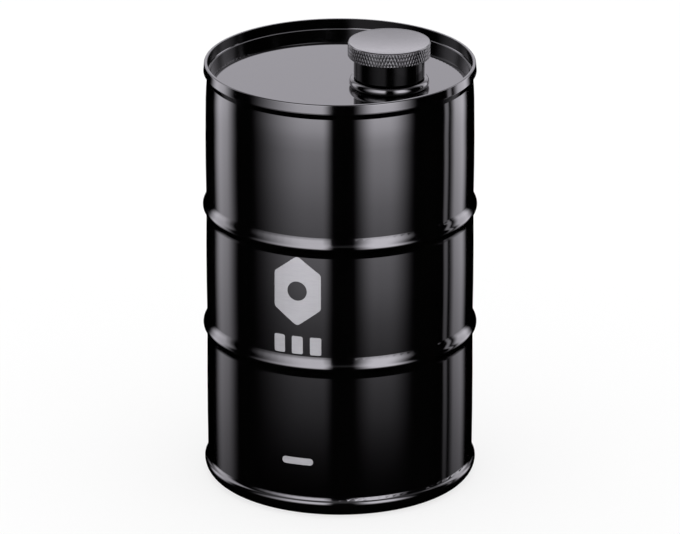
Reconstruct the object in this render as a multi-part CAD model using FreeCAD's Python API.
# Small kitchen oil dispenser in the shape of a steel drum.
# Units are millimetres. The origin is the centre of the foot, +Z points up and
# the neck stands off centre along +X.
import math
import os

import FreeCAD
import Part

# ---------------------------------------------------------------- dimensions
SHELL_R = 40.0            # outside radius of the plain cylinder
SHEET = 0.4               # wall of the shell
BARREL = 0.12             # how far each plain stretch of wall bulges between its ends

# rounded foot, rolled from the shell
FOOT_INNER_R = 36.4       # inner edge of the flat ring that meets the table
FOOT_FLAT_R = 37.2        # outer edge of the same flat ring
FOOT_CORNER_R = 3.0       # small radius at the table
FOOT_BULGE = 1.0          # how far the foot stands out from the cylinder
FOOT_BULGE_Z = 4.3        # height of its widest point
FOOT_CROWN_R = 1.1        # upper radius of the bulge
FOOT_FILLET_R = 1.3       # radius between bulge and cylinder

# rolled hoops: height, protrusion
LOWER_HOOP = (47.8, 1.15)
UPPER_HOOP = (85.5, 1.05)
HOOP_CROWN_R = 1.5
HOOP_FILLET_R = 4.0

# rim band, a channel clinched over the top edge of the shell
RIM_TOP_Z = 130.2
RIM_R = 40.6                      # at the lower edge of the outer leg
RIM_TOP_R = 40.4                  # the outer leg leans in a little
RIM_SHEET = 0.3
RIM_HEM_Z = RIM_TOP_Z - 2.75      # lower edge of the outer leg
RIM_INNER_R = 39.36               # upright inner leg
RIM_INNER_Z = RIM_TOP_Z - 2.92

# necked-in top of the shell, under the rim
NECKING_START_Z = RIM_TOP_Z - 14.5
NECKING_Z = RIM_TOP_Z - 4.8
NECKING_R = 39.6
FLARE_LOW_Z = RIM_TOP_Z - 3.1
FLARE_Z = RIM_TOP_Z - 1.5         # top edge of the shell
FLARE_R = RIM_R - RIM_SHEET - 0.2

# top head, a shallow pan with its flange turned up
HEAD_Z = RIM_TOP_Z - 7.5          # upper face
HEAD_SHEET = 0.5
HEAD_FLANGE_R = 38.55             # inside of the flange at its edge
HEAD_FLANGE_FOOT_R = 38.15
HEAD_FLANGE_Z = RIM_TOP_Z - 3.0
HEAD_CORNER_R = 1.0

# base plate, a shallow pan with its flange turned down
BASE_Z = 3.6                      # upper face
BASE_SHEET = 0.5
BASE_R = FOOT_INNER_R - 0.05
BASE_EDGE_Z = 0.15
BASE_CORNER_R = 1.2

# neck
NECK_X = 14.6
NECK_BORE_R = 7.3
NECK_TUBE_R = 8.1
NECK_SPIGOT_R = 8.9
NECK_SPIGOT_Z = HEAD_Z - 1.2
COLLAR_R = 12.0
COLLAR_LAND_R = 11.2
COLLAR_BASE_Z = HEAD_Z + 0.03
COLLAR_TOP_Z = HEAD_Z + 2.6
NECK_TOP_Z = HEAD_Z + 7.6
HEAD_HOLE_R = NECK_SPIGOT_R + 0.05

# screw thread between neck and cap liner
THREAD_LEAD = 2.4
THREAD_TURNS = 1.35
THREAD_LOW_Z = HEAD_Z + 3.75      # centre of the neck thread where it starts
NECK_THREAD_R = 8.75
THREAD_ROOT_W = 1.0
THREAD_CREST_W = 0.5
LINER_THREAD_R = 8.42
LINER_ROOT_W = 0.8
LINER_CREST_W = 0.4
LINER_TURNS = 1.2
LINER_START_DEG = 210.0           # the liner thread runs midway between the neck's turns

# pouring insert
INSERT_R = NECK_BORE_R - 0.05
INSERT_INNER_R = 5.6
INSERT_FOOT_Z = HEAD_Z - 0.4
INSERT_FLANGE_R = 7.9
INSERT_FLANGE_Z = NECK_TOP_Z + 0.03
INSERT_FLANGE_TOP_Z = NECK_TOP_Z + 0.8
GUTTER_FLOOR_Z = HEAD_Z + 5.5
GUTTER_SHEET = 0.8
SPOUT_BORE_R = 3.4
SPOUT_R = 4.2
SPOUT_LIP_R = 4.9
SPOUT_TOP_Z = HEAD_Z + 9.7
DRAIN_R = 0.45
RING_GROOVE_Z = HEAD_Z + 2.4
RING_GROOVE_R = 6.38
RING_WIRE_R = 0.43
RING_MEAN_R = 6.84

# cap: smooth skirt, knurled band, dished top
SKIRT_R = 10.55
SKIRT_BORE_R = 9.75
SKIRT_LOW_Z = HEAD_Z + 2.9
KNURL_R = 12.35
KNURL_LOW_Z = HEAD_Z + 9.2
CAP_TOP_Z = HEAD_Z + 13.7
CAP_CEILING_Z = HEAD_Z + 11.6
KNURL_CHAMFER = 0.3
DISH_R = 11.75
DISH_DEPTH = 0.8

# cap liner
LINER_R = SKIRT_BORE_R - 0.03
LINER_BORE_R = 9.05
LINER_LOW_Z = SKIRT_LOW_Z + 0.3
LINER_TOP_Z = CAP_CEILING_Z - 0.03
LINER_CEILING_Z = LINER_TOP_Z - 0.82

# sealing washer, loose in the liner
WASHER_R = 8.7
WASHER_TOP_Z = LINER_CEILING_Z - 0.1
WASHER_LOW_Z = WASHER_TOP_Z - 0.6
WASHER_RIB_IN_R = 6.2
WASHER_RIB_OUT_R = 7.8
WASHER_RIB_Z = INSERT_FLANGE_TOP_Z + 0.08


# ------------------------------------------------------------------- helpers
def vec(r, z):
    return FreeCAD.Vector(r, 0, z)


def line(a, b):
    return Part.LineSegment(vec(*a), vec(*b)).toShape()


def arc(centre, radius, start_deg, end_deg):
    """Arc in the XZ plane; angles run from +X towards +Z."""
    middle_deg = (start_deg + end_deg) / 2
    points = []
    for deg in (start_deg, middle_deg, end_deg):
        a = math.radians(deg)
        points.append(vec(centre[0] + radius * math.cos(a), centre[1] + radius * math.sin(a)))
    return Part.Arc(*points).toShape()


def arc_through(a, b, c):
    return Part.Arc(vec(*a), vec(*b), vec(*c)).toShape()


def polyline(points):
    edges = []
    for a, b in zip(points, points[1:]):
        edges.append(line(a, b))
    return edges


def revolve(edges):
    face = Part.Face(Part.Wire(edges))
    solid = face.revolve(FreeCAD.Vector(0, 0, 0), FreeCAD.Vector(0, 0, 1), 360)
    return solid


def turned(points):
    """Solid of revolution from a closed outline of (radius, height) corners."""
    return revolve(polyline(points + [points[0]]))


def sheet_ring(edges, thickness):
    """Revolve an open line of edges, thickened to one side into sheet metal."""
    strip = Part.Wire(edges).makeOffset2D(thickness, join=0, fill=True, openResult=True)
    face = strip.Faces[0]
    return face.revolve(FreeCAD.Vector(0, 0, 0), FreeCAD.Vector(0, 0, 1), 360)


def at_neck(shape):
    shape.translate(FreeCAD.Vector(NECK_X, 0, 0))
    return shape


def export(shape, node):
    solids = shape.Solids
    if len(solids) != 1 or not shape.isValid():
        raise ValueError(node + " is not one valid solid")
    solids[0].exportStep("parts/" + node + ".step")


# ---------------------------------------------------------------- drum shell
def wall_edge(low_z, high_z):
    middle = (SHELL_R + BARREL, (low_z + high_z) / 2)
    return arc_through((SHELL_R, low_z), middle, (SHELL_R, high_z))


def hoop_edges(height, protrusion, wall_below):
    """Outer outline of one rolled hoop, with the plain wall that leads up to it."""
    reach = HOOP_CROWN_R + HOOP_FILLET_R
    half = math.sqrt(2 * reach * protrusion - protrusion ** 2)
    turn = math.degrees(math.atan2(half, reach - protrusion))
    crown = (SHELL_R + protrusion - HOOP_CROWN_R, height)
    fillet_r = SHELL_R + HOOP_FILLET_R
    edges = [wall_edge(wall_below, height - half)]
    edges.append(arc((fillet_r, height - half), HOOP_FILLET_R, 180, 180 - turn))
    edges.append(arc(crown, HOOP_CROWN_R, -turn, turn))
    edges.append(arc((fillet_r, height + half), HOOP_FILLET_R, 180 + turn, 180))
    return edges, height + half


def foot_edges():
    """Outer outline of the foot, from its inner edge up to the plain wall."""
    bulge_r = SHELL_R + FOOT_BULGE
    dr = bulge_r - FOOT_FLAT_R
    dz = FOOT_BULGE_Z - FOOT_CORNER_R
    # large radius that runs into the small corner radius without a kink
    side_r = (dr ** 2 + dz ** 2 - FOOT_CORNER_R ** 2) / (2 * (dr - FOOT_CORNER_R))
    dip = math.degrees(math.atan2(dz, side_r - dr))
    edges = [line((FOOT_INNER_R, 0), (FOOT_FLAT_R, 0))]
    edges.append(arc((FOOT_FLAT_R, FOOT_CORNER_R), FOOT_CORNER_R, -90, -dip))
    edges.append(arc((bulge_r - side_r, FOOT_BULGE_Z), side_r, -dip, 0))
    reach = FOOT_CROWN_R + FOOT_FILLET_R
    half = math.sqrt(2 * reach * FOOT_BULGE - FOOT_BULGE ** 2)
    turn = math.degrees(math.atan2(half, reach - FOOT_BULGE))
    edges.append(arc((bulge_r - FOOT_CROWN_R, FOOT_BULGE_Z), FOOT_CROWN_R, 0, turn))
    top = FOOT_BULGE_Z + half
    edges.append(arc((SHELL_R + FOOT_FILLET_R, top), FOOT_FILLET_R, 180 + turn, 180))
    return edges, top


def make_shell():
    edges, wall = foot_edges()
    for height, protrusion in (LOWER_HOOP, UPPER_HOOP):
        more, wall = hoop_edges(height, protrusion, wall)
        edges += more
    edges.append(wall_edge(wall, NECKING_START_Z))
    drop = SHELL_R - NECKING_R
    run = NECKING_Z - NECKING_START_Z
    necking = (run ** 2 + drop ** 2) / (2 * drop)
    sweep = math.degrees(math.asin(run / necking))
    edges.append(arc((SHELL_R - necking, NECKING_START_Z), necking, 0, sweep))
    edges.append(line((NECKING_R, NECKING_Z), (FLARE_R, FLARE_LOW_Z)))
    edges.append(line((FLARE_R, FLARE_LOW_Z), (FLARE_R, FLARE_Z)))
    return sheet_ring(edges, SHEET)


# -------------------------------------------------------------- rim and heads
def make_top_chime():
    outline = polyline([
        (RIM_R - RIM_SHEET, RIM_HEM_Z),
        (RIM_R - 0.1, RIM_HEM_Z),
        (RIM_R, RIM_HEM_Z + 0.1),
        (RIM_TOP_R, RIM_TOP_Z - 0.45),
    ])
    outline.append(arc_through((RIM_TOP_R, RIM_TOP_Z - 0.45),
                               (RIM_TOP_R - 0.12, RIM_TOP_Z - 0.13),
                               (RIM_TOP_R - 0.42, RIM_TOP_Z)))
    channel_z = FLARE_Z + 0.4
    outline += polyline([
        (RIM_TOP_R - 0.42, RIM_TOP_Z),
        (RIM_INNER_R + 0.15, RIM_TOP_Z),
        (RIM_INNER_R, RIM_TOP_Z - 0.15),
        (RIM_INNER_R, RIM_INNER_Z),
        (RIM_INNER_R + RIM_SHEET, RIM_INNER_Z),
        (RIM_INNER_R + RIM_SHEET, channel_z),
        (RIM_TOP_R - RIM_SHEET, channel_z),
        (RIM_R - RIM_SHEET, RIM_HEM_Z),
    ])
    return revolve(outline)


def make_top_head():
    flat_r = HEAD_FLANGE_FOOT_R - HEAD_CORNER_R
    corner = (flat_r, HEAD_Z + HEAD_CORNER_R)
    edges = [line((0, HEAD_Z), (flat_r, HEAD_Z))]
    edges.append(arc(corner, HEAD_CORNER_R, -90, 0))
    edges.append(line((HEAD_FLANGE_FOOT_R, corner[1]), (HEAD_FLANGE_R, HEAD_FLANGE_Z)))
    upper = (HEAD_FLANGE_R + HEAD_SHEET, HEAD_FLANGE_Z)
    edges.append(line((HEAD_FLANGE_R, HEAD_FLANGE_Z), upper))
    edges.append(line(upper, (HEAD_FLANGE_FOOT_R + HEAD_SHEET, corner[1])))
    edges.append(arc(corner, HEAD_CORNER_R + HEAD_SHEET, 0, -90))
    edges.append(line((flat_r, HEAD_Z - HEAD_SHEET), (0, HEAD_Z - HEAD_SHEET)))
    edges.append(line((0, HEAD_Z - HEAD_SHEET), (0, HEAD_Z)))
    head = revolve(edges)
    hole = Part.makeCylinder(HEAD_HOLE_R, 10, FreeCAD.Vector(NECK_X, 0, HEAD_Z - 5))
    return head.cut(hole)


def make_bottom_head():
    flat_r = BASE_R - BASE_CORNER_R
    corner = (flat_r, BASE_Z - BASE_CORNER_R)
    inner_corner_r = BASE_CORNER_R - BASE_SHEET
    edges = [line((0, BASE_Z), (flat_r, BASE_Z))]
    edges.append(arc(corner, BASE_CORNER_R, 90, 0))
    edges.append(line((BASE_R, corner[1]), (BASE_R, BASE_EDGE_Z)))
    edges.append(line((BASE_R, BASE_EDGE_Z), (BASE_R - BASE_SHEET, BASE_EDGE_Z)))
    edges.append(line((BASE_R - BASE_SHEET, BASE_EDGE_Z), (BASE_R - BASE_SHEET, corner[1])))
    edges.append(arc(corner, inner_corner_r, 0, 90))
    edges.append(line((flat_r, BASE_Z - BASE_SHEET), (0, BASE_Z - BASE_SHEET)))
    edges.append(line((0, BASE_Z - BASE_SHEET), (0, BASE_Z)))
    return revolve(edges)


# ----------------------------------------------------------------- the thread
def thread(root_r, crest_r, root_w, crest_w, low_z, turns, start_deg):
    """One helical ridge from root_r to crest_r, as a solid about the Z axis."""
    height = THREAD_LEAD * turns
    path = Part.makeHelix(THREAD_LEAD, height, (root_r + crest_r) / 2)
    corners = [
        (root_r, -root_w / 2),
        (crest_r, -crest_w / 2),
        (crest_r, crest_w / 2),
        (root_r, root_w / 2),
        (root_r, -root_w / 2),
    ]
    section = Part.Wire(polyline(corners))
    ridge = Part.Wire(path).makePipeShell([section], True, True)
    ridge.rotate(FreeCAD.Vector(0, 0, 0), FreeCAD.Vector(0, 0, 1), start_deg)
    ridge.translate(FreeCAD.Vector(0, 0, low_z))
    return ridge


# ----------------------------------------------------------- neck and pourer
def make_neck():
    middle_z = (COLLAR_BASE_Z + COLLAR_TOP_Z) / 2
    edges = polyline([
        (NECK_BORE_R, NECK_SPIGOT_Z),
        (NECK_SPIGOT_R, NECK_SPIGOT_Z),
        (NECK_SPIGOT_R, COLLAR_BASE_Z),
        (COLLAR_LAND_R, COLLAR_BASE_Z),
    ])
    edges.append(arc_through((COLLAR_LAND_R, COLLAR_BASE_Z),
                             (COLLAR_R, middle_z),
                             (COLLAR_LAND_R, COLLAR_TOP_Z)))
    edges += polyline([
        (COLLAR_LAND_R, COLLAR_TOP_Z),
        (NECK_TUBE_R, COLLAR_TOP_Z),
        (NECK_TUBE_R, NECK_TOP_Z - 0.25),
        (NECK_TUBE_R - 0.25, NECK_TOP_Z),
        (NECK_BORE_R, NECK_TOP_Z),
        (NECK_BORE_R, NECK_SPIGOT_Z),
    ])
    body = revolve(edges)
    ridge = thread(NECK_TUBE_R - 0.15, NECK_THREAD_R, THREAD_ROOT_W, THREAD_CREST_W,
                   THREAD_LOW_Z, THREAD_TURNS, 0)
    return at_neck(body.fuse(ridge))


def make_pour_insert():
    edges = polyline([
        (INSERT_R - 0.4, INSERT_FOOT_Z),
        (INSERT_R, INSERT_FOOT_Z + 0.8),
        (INSERT_R, RING_GROOVE_Z - 0.5),
        (RING_GROOVE_R, RING_GROOVE_Z - 0.5),
        (RING_GROOVE_R, RING_GROOVE_Z + 0.5),
        (INSERT_R, RING_GROOVE_Z + 0.5),
        (INSERT_R, INSERT_FLANGE_Z),
        (INSERT_FLANGE_R, INSERT_FLANGE_Z),
        (INSERT_FLANGE_R, INSERT_FLANGE_TOP_Z),
        (INSERT_INNER_R + 0.4, INSERT_FLANGE_TOP_Z),
        (INSERT_INNER_R, INSERT_FLANGE_TOP_Z - 0.4),
        (INSERT_INNER_R, GUTTER_FLOOR_Z),
        (SPOUT_R, GUTTER_FLOOR_Z),
        (SPOUT_R, SPOUT_TOP_Z - 1.0),
    ])
    edges.append(arc_through((SPOUT_R, SPOUT_TOP_Z - 1.0),
                             (SPOUT_R + 0.2, SPOUT_TOP_Z - 0.48),
                             (SPOUT_LIP_R, SPOUT_TOP_Z - 0.12)))
    edges += polyline([
        (SPOUT_LIP_R, SPOUT_TOP_Z - 0.12),
        (SPOUT_LIP_R, SPOUT_TOP_Z),
        (SPOUT_BORE_R + 0.5, SPOUT_TOP_Z),
    ])
    edges.append(arc((SPOUT_BORE_R + 0.5, SPOUT_TOP_Z - 0.5), 0.5, 90, 180))
    edges += polyline([
        (SPOUT_BORE_R, SPOUT_TOP_Z - 0.5),
        (SPOUT_BORE_R, GUTTER_FLOOR_Z - GUTTER_SHEET),
        (INSERT_INNER_R, GUTTER_FLOOR_Z - GUTTER_SHEET),
        (INSERT_INNER_R, INSERT_FOOT_Z),
        (INSERT_R - 0.4, INSERT_FOOT_Z),
    ])
    insert = revolve(edges)
    drain_x = -(SPOUT_R + INSERT_INNER_R) / 2
    drain = Part.makeCylinder(DRAIN_R, 3, FreeCAD.Vector(drain_x, 0, GUTTER_FLOOR_Z - 2))
    return at_neck(insert.cut(drain))


def make_insert_ring():
    ring = Part.makeTorus(RING_MEAN_R, RING_WIRE_R)
    ring.translate(FreeCAD.Vector(0, 0, RING_GROOVE_Z))
    return at_neck(ring)


# ------------------------------------------------------------------- the cap
def make_cap():
    edges = polyline([
        (SKIRT_BORE_R, SKIRT_LOW_Z),
        (SKIRT_R - 0.2, SKIRT_LOW_Z),
        (SKIRT_R, SKIRT_LOW_Z + 0.2),
        (SKIRT_R, KNURL_LOW_Z),
        (KNURL_R - KNURL_CHAMFER, KNURL_LOW_Z),
        (KNURL_R, KNURL_LOW_Z + KNURL_CHAMFER),
        (KNURL_R, CAP_TOP_Z - KNURL_CHAMFER),
        (KNURL_R - KNURL_CHAMFER, CAP_TOP_Z),
        (DISH_R, CAP_TOP_Z),
    ])
    dish_z = CAP_TOP_Z - DISH_DEPTH
    dish_r = (DISH_R ** 2 + DISH_DEPTH ** 2) / (2 * DISH_DEPTH)
    half = math.degrees(math.asin(DISH_R / 2 / dish_r))
    middle = (dish_r * math.sin(math.radians(half)),
              dish_z + dish_r * (1 - math.cos(math.radians(half))))
    edges.append(arc_through((DISH_R, CAP_TOP_Z), middle, (0, dish_z)))
    edges += polyline([
        (0, dish_z),
        (0, CAP_CEILING_Z),
        (SKIRT_BORE_R, CAP_CEILING_Z),
        (SKIRT_BORE_R, SKIRT_LOW_Z),
    ])
    return at_neck(revolve(edges))


def make_cap_liner():
    body = turned([
        (LINER_BORE_R, LINER_LOW_Z),
        (LINER_R, LINER_LOW_Z),
        (LINER_R, LINER_TOP_Z),
        (0, LINER_TOP_Z),
        (0, LINER_CEILING_Z),
        (LINER_BORE_R, LINER_CEILING_Z),
    ])
    low_z = THREAD_LOW_Z - THREAD_LEAD / 2 + THREAD_LEAD * LINER_START_DEG / 360
    ridge = thread(LINER_BORE_R + 0.15, LINER_THREAD_R, LINER_ROOT_W, LINER_CREST_W,
                   low_z, LINER_TURNS, LINER_START_DEG)
    return at_neck(body.fuse(ridge))


def make_cap_seal():
    washer = turned([
        (0, WASHER_LOW_Z),
        (WASHER_RIB_IN_R, WASHER_LOW_Z),
        (WASHER_RIB_IN_R, WASHER_RIB_Z),
        (WASHER_RIB_OUT_R, WASHER_RIB_Z),
        (WASHER_RIB_OUT_R, WASHER_LOW_Z),
        (WASHER_R, WASHER_LOW_Z),
        (WASHER_R, WASHER_TOP_Z),
        (0, WASHER_TOP_Z),
    ])
    return at_neck(washer)


# -------------------------------------------------------------------- export
PARTS = {
    "drum_shell": make_shell,
    "top_chime": make_top_chime,
    "top_head": make_top_head,
    "bottom_head": make_bottom_head,
    "neck": make_neck,
    "pour_insert": make_pour_insert,
    "insert_ring": make_insert_ring,
    "cap": make_cap,
    "cap_liner": make_cap_liner,
    "cap_seal": make_cap_seal,
}

os.makedirs("parts", exist_ok=True)
for node, make in PARTS.items():
    export(make(), node)
